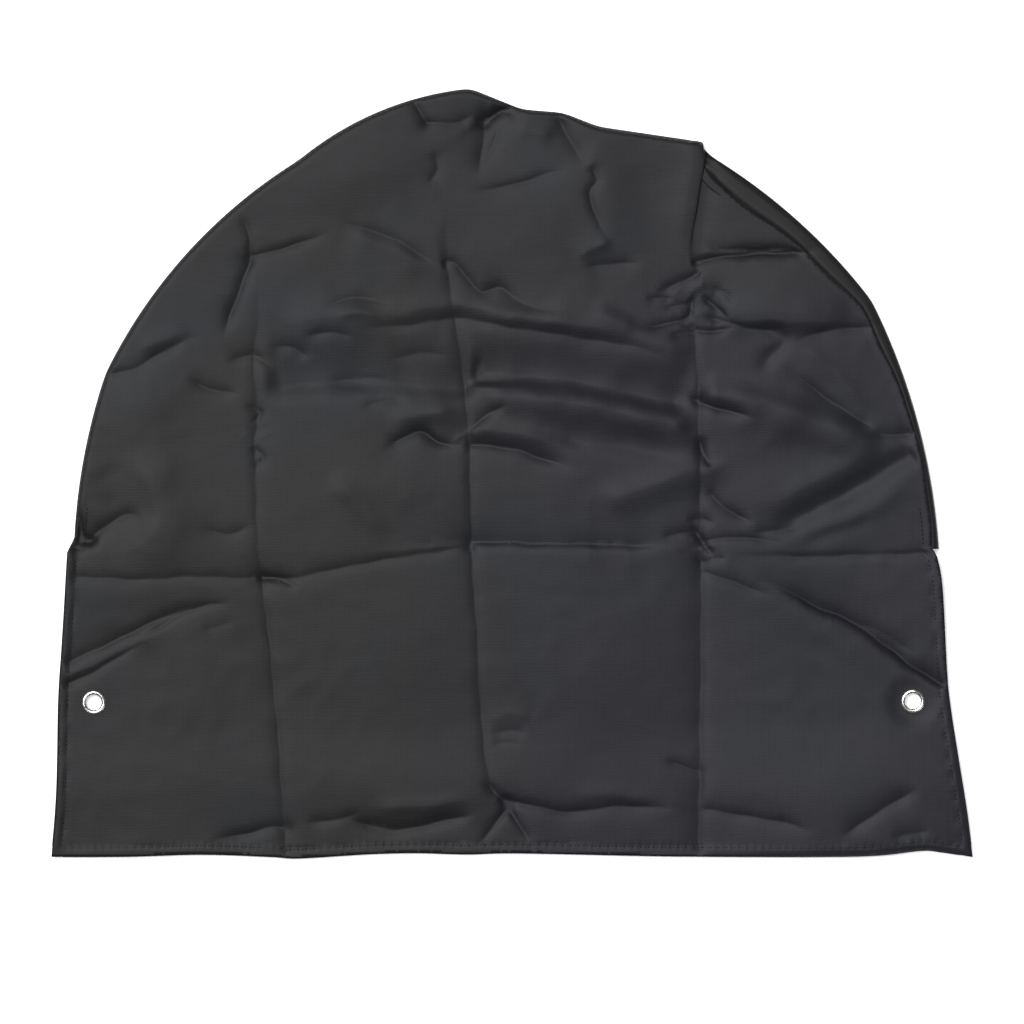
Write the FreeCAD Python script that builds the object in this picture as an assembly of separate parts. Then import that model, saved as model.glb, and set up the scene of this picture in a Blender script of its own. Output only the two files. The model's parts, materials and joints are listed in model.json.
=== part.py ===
"""Wheel cover for a caravan or trailer, lying face up on a flat surface.

The face panel is an arch with a straight skirt below it. A tread band is sewn round the arch, folds
under at its outer edge and is drawn in at the back by elastic. The skirt hangs free below the band's
ends, and has a steel eyelet at each side for a tie.

Units are millimetres. +X runs to the right across the skirt, +Y from the hem to the crown and +Z up,
away from the surface. The origin is the middle of the footprint, on the surface.
"""

import FreeCAD, Part
import math
import os
from FreeCAD import Vector

# Cloth and heights above the surface
CLOTH = 0.5
FACE_TOP = 9.5
FACE_UNDER = FACE_TOP - CLOTH

# The arch: the band's outer fold and the seam inside it,
# from the left foot over the crown to the right foot.
# Each stretch is a line to its last point, or an arc through its first point to its last.
ARCH_FOOT = -60.0
FOLD_START = (-345.0, ARCH_FOOT)
FOLD_STRETCHES = [
    [(-337.5, 10.0), (-320.0, 78.0)],
    [(-262.0, 166.0), (-168.0, 246.0)],
    [(-102.0, 285.5), (-33.0, 302.5)],
    [(8.0, 286.0)],
    [(40.0, 283.5)],
    [(68.0, 272.5)],
    [(146.0, 261.0)],
    [(156.0, 249.5)],
    [(226.5, 197.0), (283.0, 135.5)],
    [(314.5, 57.0), (336.0, ARCH_FOOT)],
]
SEAM_START = (-343.0, ARCH_FOOT)
SEAM_STRETCHES = [
    [(-335.5, 10.0), (-318.0, 77.0)],
    [(-260.5, 164.5), (-167.0, 244.0)],
    [(-101.5, 283.0), (-33.0, 300.0)],
    [(7.0, 282.5)],
    [(39.0, 279.5)],
    [(67.0, 268.5)],
    [(145.0, 254.5)],
    [(158.0, 231.0)],
    [(222.0, 180.0), (275.0, 128.0)],
    [(313.0, 45.0), (330.5, ARCH_FOOT)],
]
LEG = 50.0  # how far an arch outline runs on below its foot before it is trimmed

# The mouth at the back, drawn in by elastic
MOUTH_RADIUS = 160.0
CASING_WIDTH = 12.0
CASING_HEIGHT = 4.0
ELASTIC_WIDTH = 8.0
ELASTIC_THICKNESS = 1.2
ELASTIC_PLAY = 0.2  # between the elastic and the channel's floor
CASING_STITCH_INSET = 1.5

# The skirt and its fold line
FOLD_Y = -62.0
FOLD_GAP = 0.3
SKIRT_TOP_LEFT = -349.5
SKIRT_TOP_RIGHT = 333.0
SKIRT_BOW = (343.5, -181.0)  # the right edge bows in through this point
HEM_Y = -302.63
HALF_WIDTH = 362.5

# Seams and hems
HEM_WIDTH = 8.0
HEM_PLIES = 2
STITCH_INSET = 7.0
THREAD_WIDTH = 0.5
THREAD_HEIGHT = 0.25
THREAD_STOP = 5.0  # stitch lines stop this far from the fold, so that they clear a folded skirt
SEAM_ALLOWANCE = 8.0
SEAM_STITCH_INSET = 1.5
END_HEM_WIDTH = 10.0
END_HEM_GAPS = (4.0, 1.0)  # from the channel and from the fold wall
END_STITCH_INSET = 1.5
TACK_LENGTH = 30.0
BAR_TACK = (10.0, 3.0, 0.6)  # length along the channel, half width across it, height
BAR_TACK_START = 1.0  # in from the band's end

# Eyelets, as pressed from sheet, with their own axis up from the skirt's top face
EYELET_BORE = 6.0
EYELET_WALL = 0.45
EYELET_RIM = 9.75
EYELET_CROWN = 1.5
DOME_FOOT = 0.2  # where the dome's underside meets the barrel
BARREL_TOP = 0.4
BARREL_FOOT = -1.3
CURL_RIM = 8.5
CURL_FOOT = -2.2
WASHER_RIM = 9.4
WASHER_THICKNESS = 0.5
EYELET_CENTRES = {"left": (-329.0, -181.0), "right": (315.5, -180.0)}

HEM_THICKNESS = HEM_PLIES * CLOTH
FAR = 2000.0


def at(point, z=0.0):
    return Vector(point[0], point[1], z)


def outline(start, stretches):
    """Edges from the start along each stretch, an arc where it has a middle point."""
    edges = []
    here = at(start)
    for stretch in stretches:
        there = at(stretch[-1])
        if len(stretch) == 2:
            edges.append(Part.Arc(here, at(stretch[0]), there).toShape())
        else:
            edges.append(Part.LineSegment(here, there).toShape())
        here = there
    return edges


def arch_face(start, stretches, foot=ARCH_FOOT - LEG):
    """The arch closed by two straight legs and a line across their feet."""
    right = stretches[-1][-1]
    legs = [[(right[0], foot)], [(start[0], foot)], [start]]
    return Part.Face(Part.Wire(outline(start, stretches + legs)))


def skirt_face(top=FOLD_Y - FOLD_GAP / 2):
    """The skirt flat, before it is tilted down from its fold line."""
    edges = outline(
        (SKIRT_TOP_LEFT, top),
        [
            [(-HALF_WIDTH, HEM_Y)],
            [(HALF_WIDTH, HEM_Y)],
            [SKIRT_BOW, (SKIRT_TOP_RIGHT, FOLD_Y)],
            [(SKIRT_TOP_RIGHT, top)],
            [(SKIRT_TOP_LEFT, top)],
        ],
    )
    return Part.Face(Part.Wire([e for e in edges if e.Length > 1e-6]))


def slab(face, low, high):
    """The face thickened from one height to another."""
    lifted = face.copy()
    lifted.translate(Vector(0, 0, low))
    return lifted.extrude(Vector(0, 0, high - low))


def border(face, outside, inside):
    """The strip of a face between two distances in from its edge."""
    outer = face.makeOffset2D(-outside) if outside else face
    return outer.cut(face.makeOffset2D(-inside))


def block(x_low, x_high, y_low, y_high, z_low=-FAR, z_high=FAR):
    corner = Vector(x_low, y_low, z_low)
    return Part.makeBox(x_high - x_low, y_high - y_low, z_high - z_low, corner)


def above(y):
    return block(-FAR, FAR, y, FAR)


def below(y):
    return block(-FAR, FAR, -FAR, y)


def half_ring(profile):
    """A closed wire in the XZ plane, turned half a turn round the arch's centre, from its right foot."""
    face = Part.Face(profile)
    face.translate(Vector(0, ARCH_FOOT, 0))
    return face.revolve(Vector(0, ARCH_FOOT, 0), Vector(0, 0, 1), 180)


def box_profile(x_low, x_high, z_low, z_high):
    corners = [(x_low, z_low), (x_high, z_low), (x_high, z_high), (x_low, z_high)]
    points = [Vector(x, 0, z) for x, z in corners]
    return Part.makePolygon(points + points[:1])


def front_panel():
    """The face above the fold line, up to the seam."""
    face = arch_face(SEAM_START, SEAM_STRETCHES)
    return slab(face, FACE_UNDER, FACE_TOP).common(above(FOLD_Y + FOLD_GAP / 2))


def tread_band():
    """The band: a strip outside the seam, the fold, and the leaf drawn in underneath."""
    folded = arch_face(FOLD_START, FOLD_STRETCHES)
    seamed = arch_face(SEAM_START, SEAM_STRETCHES)
    mouth = Part.Face(Part.Wire(Part.makeCircle(MOUTH_RADIUS + CASING_WIDTH, at((0, ARCH_FOOT)))))
    top_leaf = slab(folded.cut(seamed), FACE_UNDER, FACE_TOP)
    fold_wall = slab(border(folded, 0, CLOTH), CLOTH, FACE_UNDER)
    lower_leaf = slab(folded.cut(mouth), 0, CLOTH)
    kept = above(ARCH_FOOT)
    leaves = [leaf.common(kept) for leaf in (top_leaf, fold_wall, lower_leaf)]
    return Part.makeCompound([solid for leaf in leaves for solid in leaf.Solids])


def rear_casing():
    """The channel along the mouth that holds the elastic."""
    outer = box_profile(MOUTH_RADIUS, MOUTH_RADIUS + CASING_WIDTH, 0, CASING_HEIGHT)
    inner = box_profile(
        MOUTH_RADIUS + CLOTH, MOUTH_RADIUS + CASING_WIDTH - CLOTH, CLOTH, CASING_HEIGHT - CLOTH
    )
    return half_ring(outer).cut(half_ring(inner))


def rear_elastic():
    """Flat elastic lying in the channel."""
    middle = MOUTH_RADIUS + CASING_WIDTH / 2
    low = CLOTH + ELASTIC_PLAY
    return half_ring(
        box_profile(middle - ELASTIC_WIDTH / 2, middle + ELASTIC_WIDTH / 2, low, low + ELASTIC_THICKNESS)
    )


def casing_thread():
    """The stitch line on the channel's upper side."""
    middle = MOUTH_RADIUS + CASING_WIDTH - CASING_STITCH_INSET
    return half_ring(
        box_profile(
            middle - THREAD_WIDTH / 2,
            middle + THREAD_WIDTH / 2,
            CASING_HEIGHT,
            CASING_HEIGHT + THREAD_HEIGHT,
        )
    )


def arch_seam_allowance():
    """The two raw edges turned in under the face at the seam."""
    strip = border(arch_face(SEAM_START, SEAM_STRETCHES), 0, SEAM_ALLOWANCE)
    return slab(strip, FACE_UNDER - HEM_THICKNESS, FACE_UNDER).common(above(ARCH_FOOT))


def arch_seam_thread():
    """The seam's stitch line, on the inner side of the allowance."""
    strip = border(
        arch_face(SEAM_START, SEAM_STRETCHES), SEAM_STITCH_INSET, SEAM_STITCH_INSET + THREAD_WIDTH
    )
    low = FACE_UNDER - HEM_THICKNESS - THREAD_HEIGHT
    return slab(strip, low, low + THREAD_HEIGHT).common(above(ARCH_FOOT))


def band_end(side, low, high, near, far):
    """A straight strip across one end of the band's lower leaf, from the channel out to the fold wall."""
    foot = -FOLD_START[0] if side == "left" else FOLD_STRETCHES[-1][-1][0]
    inner = MOUTH_RADIUS + CASING_WIDTH + END_HEM_GAPS[0]
    outer = foot - 2 * CLOTH - END_HEM_GAPS[1]
    x_low, x_high = (-outer, -inner) if side == "left" else (inner, outer)
    return block(x_low, x_high, ARCH_FOOT + near, ARCH_FOOT + far, low, high)


def band_end_hem(side):
    return band_end(side, CLOTH, CLOTH + HEM_THICKNESS, 0, END_HEM_WIDTH)


def band_end_thread(side):
    middle = END_HEM_WIDTH - END_STITCH_INSET
    low = CLOTH + HEM_THICKNESS
    return band_end(
        side, low, low + THREAD_HEIGHT, middle - THREAD_WIDTH / 2, middle + THREAD_WIDTH / 2
    )


def elastic_tack(side):
    """The bar of dense stitching that holds one end of the elastic in its channel."""
    length, half, height = BAR_TACK
    middle = (MOUTH_RADIUS + CASING_WIDTH / 2) * (-1 if side == "left" else 1)
    start = ARCH_FOOT + BAR_TACK_START
    return block(middle - half, middle + half, start, start + length, CASING_HEIGHT, CASING_HEIGHT + height)


def corner_tack(side):
    """The stitch line that runs on above the skirt's hem, where the skirt, face and band meet."""
    x = SEAM_START[0] + STITCH_INSET if side == "left" else SEAM_STRETCHES[-1][-1][0] - STITCH_INSET
    start = FOLD_Y + THREAD_STOP
    half = THREAD_WIDTH / 2
    return block(x - half, x + half, start, start + TACK_LENGTH, FACE_TOP, FACE_TOP + THREAD_HEIGHT)


def skirt_panel():
    """The free flap below the band's ends, with a punched hole at each eyelet."""
    panel = slab(skirt_face(), -CLOTH, 0)
    for x, y in EYELET_CENTRES.values():
        panel = panel.cut(
            Part.makeCylinder(EYELET_BORE + EYELET_WALL, 4 * CLOTH, Vector(x, y, -2 * CLOTH))
        )
    return panel


def skirt_border(outside, inside, low, high):
    """A strip round the skirt's free edges, left open along the fold line."""
    face = skirt_face(FOLD_Y + LEG)
    return slab(border(face, outside, inside), low, high).common(below(FOLD_Y - FOLD_GAP / 2))


def on_edge(strip, edge, inset):
    """The part of a strip that lies along the bottom, left or right edge of the skirt."""
    if edge == "bottom":
        return strip.common(below(HEM_Y + inset))
    side = block(-FAR, 0, HEM_Y + inset, FAR) if edge == "left" else block(0, FAR, HEM_Y + inset, FAR)
    return strip.common(side)


def skirt_hem(edge):
    """The turned plies under one free edge of the skirt."""
    return on_edge(skirt_border(0, HEM_WIDTH, -CLOTH - HEM_THICKNESS, -CLOTH), edge, HEM_WIDTH)


def hem_thread(edge):
    """The stitch line that holds one hem, on the skirt's face."""
    strip = skirt_border(STITCH_INSET, STITCH_INSET + THREAD_WIDTH, 0, THREAD_HEIGHT)
    return on_edge(strip, edge, STITCH_INSET + THREAD_WIDTH).common(below(FOLD_Y - THREAD_STOP))


def turned(edges, centre):
    """A closed profile of edges in the XZ plane, turned about its Z axis and set down at a centre."""
    solid = Part.Face(Part.Wire(edges)).revolve(Vector(0, 0, 0), Vector(0, 0, 1), 360)
    solid.translate(at(centre))
    return solid


def eyelet(centre):
    """Domed rim, barrel through the cloth and a curl rolled over the washer, all of one sheet."""

    def line(start, end):
        return Part.LineSegment(Vector(start[0], 0, start[1]), Vector(end[0], 0, end[1])).toShape()

    def arc(start, middle, end):
        return Part.Arc(*(Vector(r, 0, z) for r, z in (start, middle, end))).toShape()

    bore, outside, wall = EYELET_BORE, EYELET_BORE + EYELET_WALL, EYELET_WALL
    dome_r = (bore + EYELET_RIM) / 2
    curl_r = (bore + CURL_RIM) / 2
    curl_top = -CLOTH - WASHER_THICKNESS
    edges = [
        line((bore, BARREL_FOOT), (bore, BARREL_TOP)),
        arc((bore, BARREL_TOP), (dome_r, EYELET_CROWN), (EYELET_RIM, 0)),
        line((EYELET_RIM, 0), (EYELET_RIM - wall, 0)),
        arc((EYELET_RIM - wall, 0), (dome_r, EYELET_CROWN - wall), (outside, DOME_FOOT)),
        line((outside, DOME_FOOT), (outside, BARREL_FOOT)),
        arc((outside, BARREL_FOOT), (curl_r, CURL_FOOT + wall), (CURL_RIM - wall, curl_top)),
        line((CURL_RIM - wall, curl_top), (CURL_RIM, curl_top)),
        arc((CURL_RIM, curl_top), (curl_r, CURL_FOOT), (bore, BARREL_FOOT)),
    ]
    return turned(edges, centre)


def eyelet_washer(centre):
    """The flat ring between the cloth and the eyelet's curl."""
    low = -CLOTH - WASHER_THICKNESS
    washer = Part.makeCylinder(WASHER_RIM, WASHER_THICKNESS, at(centre, low))
    return washer.cut(Part.makeCylinder(EYELET_BORE + EYELET_WALL, 2.0, at(centre, low - 1.0)))


def skirt_tilt():
    """How far the skirt drops from level, in degrees, so that its hem rests on the surface."""
    length = FOLD_Y - HEM_Y
    depth = CLOTH + HEM_THICKNESS
    reach = math.hypot(length, depth)
    return math.degrees(math.asin(FACE_TOP / reach) - math.atan2(depth, length))


def hung(shape):
    """A skirt piece tilted down about the fold line."""
    tilted = shape.copy()
    tilted.rotate(Vector(0, FOLD_Y, 0), Vector(1, 0, 0), skirt_tilt())
    tilted.translate(Vector(0, 0, FACE_TOP))
    return tilted


def pieces():
    """Every piece by its node name, where it lies."""
    found = {
        "front_panel": front_panel(),
        "tread_band": tread_band(),
        "rear_casing": rear_casing(),
        "rear_elastic": rear_elastic(),
        "casing_thread": casing_thread(),
        "arch_seam_allowance": arch_seam_allowance(),
        "arch_seam_thread": arch_seam_thread(),
        "skirt_panel": hung(skirt_panel()),
    }
    for side, centre in EYELET_CENTRES.items():
        found[f"band_end_hem_{side}"] = band_end_hem(side)
        found[f"band_end_thread_{side}"] = band_end_thread(side)
        found[f"elastic_tack_{side}"] = elastic_tack(side)
        found[f"corner_tack_{side}"] = corner_tack(side)
        found[f"eyelet_{side}"] = hung(eyelet(centre))
        found[f"eyelet_washer_{side}"] = hung(eyelet_washer(centre))
    for edge in ("bottom", "left", "right"):
        found[f"{edge}_hem"] = hung(skirt_hem(edge))
        found[f"{edge}_hem_thread"] = hung(hem_thread(edge))
    return found


def main():
    os.makedirs("parts", exist_ok=True)
    for name, shape in pieces().items():
        box = shape.BoundBox
        print(f"{name}: {len(shape.Solids)} solids, valid {shape.isValid()}, volume {shape.Volume:.1f}")
        print(f"  x {box.XMin:.1f} to {box.XMax:.1f}, y {box.YMin:.1f} to {box.YMax:.1f}")
        print(f"  z {box.ZMin:.2f} to {box.ZMax:.2f}")
        shape.exportStep(f"parts/{name}.step")
    print(f"skirt tilt {skirt_tilt():.4f} degrees")


main()
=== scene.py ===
"""Looks of a caravan wheel cover lying face up, as it comes out of its packing.

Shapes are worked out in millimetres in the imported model's own frame. They are turned to metres
as meshes are made.
"""

import json
import math

import bmesh
import bpy
import numpy as np
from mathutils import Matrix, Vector, geometry, kdtree, noise


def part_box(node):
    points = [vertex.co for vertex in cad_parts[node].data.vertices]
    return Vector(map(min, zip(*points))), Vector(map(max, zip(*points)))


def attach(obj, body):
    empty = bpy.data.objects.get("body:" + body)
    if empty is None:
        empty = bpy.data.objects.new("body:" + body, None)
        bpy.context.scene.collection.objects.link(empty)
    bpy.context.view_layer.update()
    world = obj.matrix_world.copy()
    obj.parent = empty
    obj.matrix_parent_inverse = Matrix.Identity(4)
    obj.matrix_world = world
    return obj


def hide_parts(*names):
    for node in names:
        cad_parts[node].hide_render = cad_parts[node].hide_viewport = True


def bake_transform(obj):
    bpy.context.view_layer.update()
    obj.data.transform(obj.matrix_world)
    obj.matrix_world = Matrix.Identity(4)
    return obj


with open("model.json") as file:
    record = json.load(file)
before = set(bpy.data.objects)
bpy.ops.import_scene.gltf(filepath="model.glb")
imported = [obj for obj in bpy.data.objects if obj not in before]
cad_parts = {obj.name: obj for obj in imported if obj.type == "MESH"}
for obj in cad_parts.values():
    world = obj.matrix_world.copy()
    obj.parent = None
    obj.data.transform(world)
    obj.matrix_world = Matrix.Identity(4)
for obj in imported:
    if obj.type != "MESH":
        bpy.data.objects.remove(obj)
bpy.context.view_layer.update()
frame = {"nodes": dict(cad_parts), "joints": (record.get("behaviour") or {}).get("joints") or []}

MM = 0.001
CLOTH = 0.5  # thickness of the cloth
SIDES = ("left", "right")
FACE_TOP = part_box("front_panel")[1].z / MM
FOLD_Y = frame["joints"][0]["pos_m"][1] / MM
HEM_LOW, HEM_HIGH = (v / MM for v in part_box("bottom_hem"))
HEM_Y, HALF_WIDTH = HEM_LOW.y, HEM_HIGH.x
SKIRT_DROP = (FACE_TOP - 3 * CLOTH) / (FOLD_Y - HEM_Y)  # fall of the skirt per millimetre
HEM_LOFT = 2.4  # how far the hem stands up between its creases
HEM_WIDTH = 8.0
STITCH_INSET = 7.0
STITCH_PITCH = 3.2
HEM_STEP = 0.7  # how far the turned cloth lifts the face
STITCH_GROOVE = 1.5  # how deep the stitches draw it in
CORNER = 6.0  # how far corners of the arch are rounded
MOUTH = np.array((0.0, -60.0))
CASING_INNER, CASING_OUTER = 160.0, 172.0
EYELETS = [sum(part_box(f"eyelet_{side}"), Vector()) / 2 / MM for side in SIDES]
EYELET_HOLE = 6.5
EYELET_HOLD = (11.0, 24.0)  # an eyelet holds the cloth flat up to here, and less up to there
UNDER_GAP = 0.03  # between the face and what lies under it

# Outlines, each a start and stretches of a line to a point or an arc through a point to another

SEAM = ((-343.0, -60.0), [
    [(-335.5, 10.0), (-318.0, 77.0)],
    [(-260.5, 164.5), (-167.0, 244.0)],
    [(-101.5, 283.0), (-33.0, 300.0)],
    [(7.0, 282.5)],
    [(39.0, 279.5)],
    [(67.0, 268.5)],
    [(145.0, 254.5)],
    [(158.0, 231.0)],
    [(222.0, 180.0), (275.0, 128.0)],
    [(313.0, 45.0), (330.5, -60.0)],
])
FOLD = ((-345.0, -60.0), [
    [(-337.5, 10.0), (-320.0, 78.0)],
    [(-262.0, 166.0), (-168.0, 246.0)],
    [(-102.0, 285.5), (-33.0, 302.5)],
    [(8.0, 286.0)],
    [(40.0, 283.5)],
    [(68.0, 272.5)],
    [(146.0, 261.0)],
    [(156.0, 249.5)],
    [(226.5, 197.0), (283.0, 135.5)],
    [(314.5, 57.0), (336.0, -60.0)],
])

# The skirt's free edges, each from where the one before ends
RIGHT_EDGE = [
    (330.5, -60), (334, -66), (338.5, -91), (342, -154), (344.5, -181), (350, -217), (358, -267),
    (HALF_WIDTH, HEM_Y)]
BOTTOM_EDGE = [
    (HALF_WIDTH, HEM_Y), (336, -298.5), (322, -297.5), (284, -301.5), (226, -302.4), (132, -302),
    (75, -301), (0, -299.5), (-36, -300.4), (-75, -299.4), (-113, -300.3), (-168, -303.6),
    (-190, -302.4), (-245, -300.6), (-302, -302.2), (-HALF_WIDTH, HEM_Y)]
LEFT_EDGE = [
    (-HALF_WIDTH, HEM_Y), (-358.5, -250), (-357, -180), (-354.5, -141), (-352.5, -110),
    (-350, -68), (-349, -61), (-345, -53), (-342.6, -46)]


def round_about(angles):
    """Points of the unit circle."""
    return np.stack([np.cos(angles), np.sin(angles)], 1)


def arc_points(a, b, c, step):
    """Points after a along the circle through a, b and c, ending at c."""
    a, b, c = (np.array(p, float) for p in (a, b, c))
    d = 2 * np.cross(b - a, c - a)
    u, v = b - a, c - a
    centre = a + np.array([v[1] * (u @ u) - u[1] * (v @ v), u[0] * (v @ v) - v[0] * (u @ u)]) / d
    radius = np.linalg.norm(a - centre)
    start, middle, end = (math.atan2(*(p - centre)[::-1]) for p in (a, b, c))
    turn = (end - start) % (2 * math.pi)
    if (middle - start) % (2 * math.pi) > turn:
        turn -= 2 * math.pi
    count = max(2, int(abs(turn) * radius / step))
    angles = start + turn * np.arange(1, count + 1) / count
    return centre + radius * round_about(angles)


def trace(outline, step=2.5):
    """An outline as evenly spaced points, with its corners rounded."""
    here, stretches = outline
    points = [np.array([here], float)]
    for stretch in stretches:
        there = stretch[-1]
        if len(stretch) == 2:
            points.append(arc_points(here, stretch[0], there, step))
        else:
            count = max(1, int(math.dist(here, there) / step))
            t = np.arange(1, count + 1)[:, None] / count
            points.append(np.array(here) + t * (np.array(there) - np.array(here)))
        here = there
    return rounded(np.concatenate(points), CORNER / step)


def rounded(points, reach):
    """The points averaged with their neighbours over a reach in points, with both ends kept."""
    for _ in range(int(reach * reach)):
        points[1:-1] = (points[:-2] + 2 * points[1:-1] + points[2:]) / 4
    return points


def resampled(points, count):
    """A line as a number of points at equal distances along it."""
    along = run_along(points)
    at = np.linspace(0, along[-1], count)
    return np.stack([np.interp(at, along, points[:, i]) for i in range(points.shape[1])], 1)


def spline(points, step=2.0):
    """A smooth line through given points, as evenly spaced points."""
    p = np.array(points, float)
    if len(p) == 2:
        count = max(2, int(math.dist(*p) / step))
        return p[0] + np.linspace(0, 1, count + 1)[:, None] * (p[1] - p[0])
    p = np.concatenate([[2 * p[0] - p[1]], p, [2 * p[-1] - p[-2]]])
    out = [p[1]]
    for a, b, c, d in zip(p, p[1:], p[2:], p[3:]):
        count = max(2, int(np.linalg.norm(c - b) / step))
        t = (np.arange(1, count + 1) / count)[:, None]
        curve = 2 * b + (c - a) * t
        curve = curve + (2 * a - 5 * b + 4 * c - d) * t**2 + (3 * b - a - 3 * c + d) * t**3
        out.extend(curve / 2)
    return np.array(out)


def left_of(line):
    """Unit steps to the left at each point of a line."""
    run = np.gradient(line, axis=0)
    return np.stack([-run[:, 1], run[:, 0]], 1) / np.linalg.norm(run, axis=1)[:, None]


def run_along(line):
    """The length along a line at each of its points."""
    return np.concatenate([[0], np.cumsum(np.linalg.norm(np.diff(line, axis=0), axis=1))])


def smooth(t):
    """A step from 0 to 1 with level ends."""
    t = np.clip(t, 0, 1)
    return t * t * (3 - 2 * t)


def wandering(line, along):
    """The line moved a little from side to side, as a crease in cloth wanders."""
    phase = line[0].sum()
    wander = WANDER * np.sin(along / 6.3 + phase) * np.sin(along / 15.0 + phase / 3)
    return line + wander[:, None] * left_of(line)


def signed_distance(xy, line, along):
    """Distance to a line, above 0 on its left, and the length along it at the nearest point."""
    best = np.full(len(xy), np.inf)
    sign, where = np.ones(len(xy)), np.zeros(len(xy))
    for i in range(len(line) - 1):
        a, run = line[i], line[i + 1] - line[i]
        length = np.linalg.norm(run)
        off = xy - a
        t = np.clip(off @ run / length**2, 0, 1)
        gap = off - t[:, None] * run
        d = np.hypot(gap[:, 0], gap[:, 1])
        closer = d < best
        best = np.where(closer, d, best)
        sign = np.where(closer, np.sign(run[0] * off[:, 1] - run[1] * off[:, 0]), sign)
        where = np.where(closer, along[i] + t * length, where)
    return best * np.where(sign == 0, 1, sign), where


# The creases and folds of the face: each a line, its height and its reach on the left and right

SHARP = 0.7  # the share of a crease's height in its sharp part
BROAD = 3.0  # how much further its broad part reaches
VALLEY_FOOT = 0.4  # how round a valley's foot is
RIDGE_FOOT = 0.7  # how round a ridge is, as a share of its reach
FURTHEST = 12  # reaches, beyond which a crease isn't felt
WANDER = 0.6
WAVER = 0.15  # the share of a crease's height that comes and goes along it


class Crease:
    """A sharp valley (height below 0) or a rounded ridge along a line.

    Its sides reach left and right of the way it runs. It fades over a share of its length at
    each end.
    """

    def __init__(self, points, height, left, right, fade=(0.3, 0.3)):
        line = spline(points)
        self.along = run_along(line)
        self.line = wandering(line, self.along)
        self.height, self.left, self.right, self.fade = height, left, right, fade
        self.foot = VALLEY_FOOT if height < 0 else RIDGE_FOOT * min(left, right)

    def strength(self, s):
        """From 0 to 1 along the crease, fading at its ends and wavering between them."""
        t = s / self.along[-1]
        rise = smooth(t / self.fade[0]) if self.fade[0] else 1.0
        fall = smooth((1 - t) / self.fade[1]) if self.fade[1] else 1.0
        phase = self.line[0].sum()
        waver = np.sin(s / 9.0 + phase) * np.cos(s / 23.0 + 2 * phase)
        return rise * fall * (1 - WAVER + WAVER * waver)

    def lift(self, xy):
        """Its height at each point."""
        reach = FURTHEST * max(self.left, self.right)
        low, high = self.line.min(0) - reach, self.line.max(0) + reach
        near = np.flatnonzero(((xy > low) & (xy < high)).all(1))
        out = np.zeros(len(xy))
        if not len(near):
            return out
        d, s = signed_distance(xy[near], self.line, self.along)
        side = np.where(d > 0, self.left, self.right)
        out[near] = self.height * self.strength(s) * self.profile(d, side)
        return out

    def profile(self, d, side):
        """A sharp part, and a broad one that the cloth round it leans into."""
        far = (np.sqrt(d * d + self.foot**2) - self.foot) / side
        return SHARP * np.exp(-far) + (1 - SHARP) * np.exp(-far / BROAD)


class Fold(Crease):
    """A rounded wave in the cloth, with nothing sharp about it."""

    def __init__(self, points, height, width, fade=(0.3, 0.3)):
        left, right = width if isinstance(width, tuple) else (width, width)
        super().__init__(points, height, left, right, fade)

    def profile(self, d, side):
        return np.exp(-((d / side) ** 2))


# How creases fade at their start and end
WHOLE = (0.0, 0.0)
IN = (0.4, 0.0)
OUT = (0.0, 0.4)

# Creases of the folded pack: three down the face and one across it
PACKING = [
    Crease([(-177, -303), (-179, -276), (-184, -206), (-191, -131), (-197, -82)],
           -1.7, 3.5, 3, WHOLE),
    Crease([(-197, -82), (-200, -44), (-202, 20), (-200, 45), (-203, 90), (-200, 115),
            (-199, 168)], -1.3, 3, 3, OUT),
    Crease([(-15, -252), (-20, -227), (-24, -194), (-28, -118), (-32, -60)], -1.6, 3, 3, WHOLE),
    Crease([(-32, -60), (-33, 6), (-37, 66), (-45, 124), (-51, 164), (-51, 219)],
           -1.7, 3, 3.5, OUT),
    Crease([(147, -303), (148, -232), (149, -140), (149, -70)], -2.6, 9, 3, WHOLE),
    Crease([(149, -70), (148, 0), (147, 60), (144, 110), (141, 150)], -2.0, 4, 3, OUT),
    Crease([(-345, -82), (-295, -84), (-250, -82), (-205, -83)], -1.6, 3, 3, WHOLE),
    Crease([(-196, -82), (-170, -83), (-135, -75), (-70, -64), (-35, -59)], -1.8, 3, 3, WHOLE),
    Crease([(-33, -55), (0, -55), (106, -57), (148, -54)], -3.6, 11, 2.5, OUT),
    Crease([(163, -65), (236, -66), (328, -63)], -1.9, 3, 3, IN),
]

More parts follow.
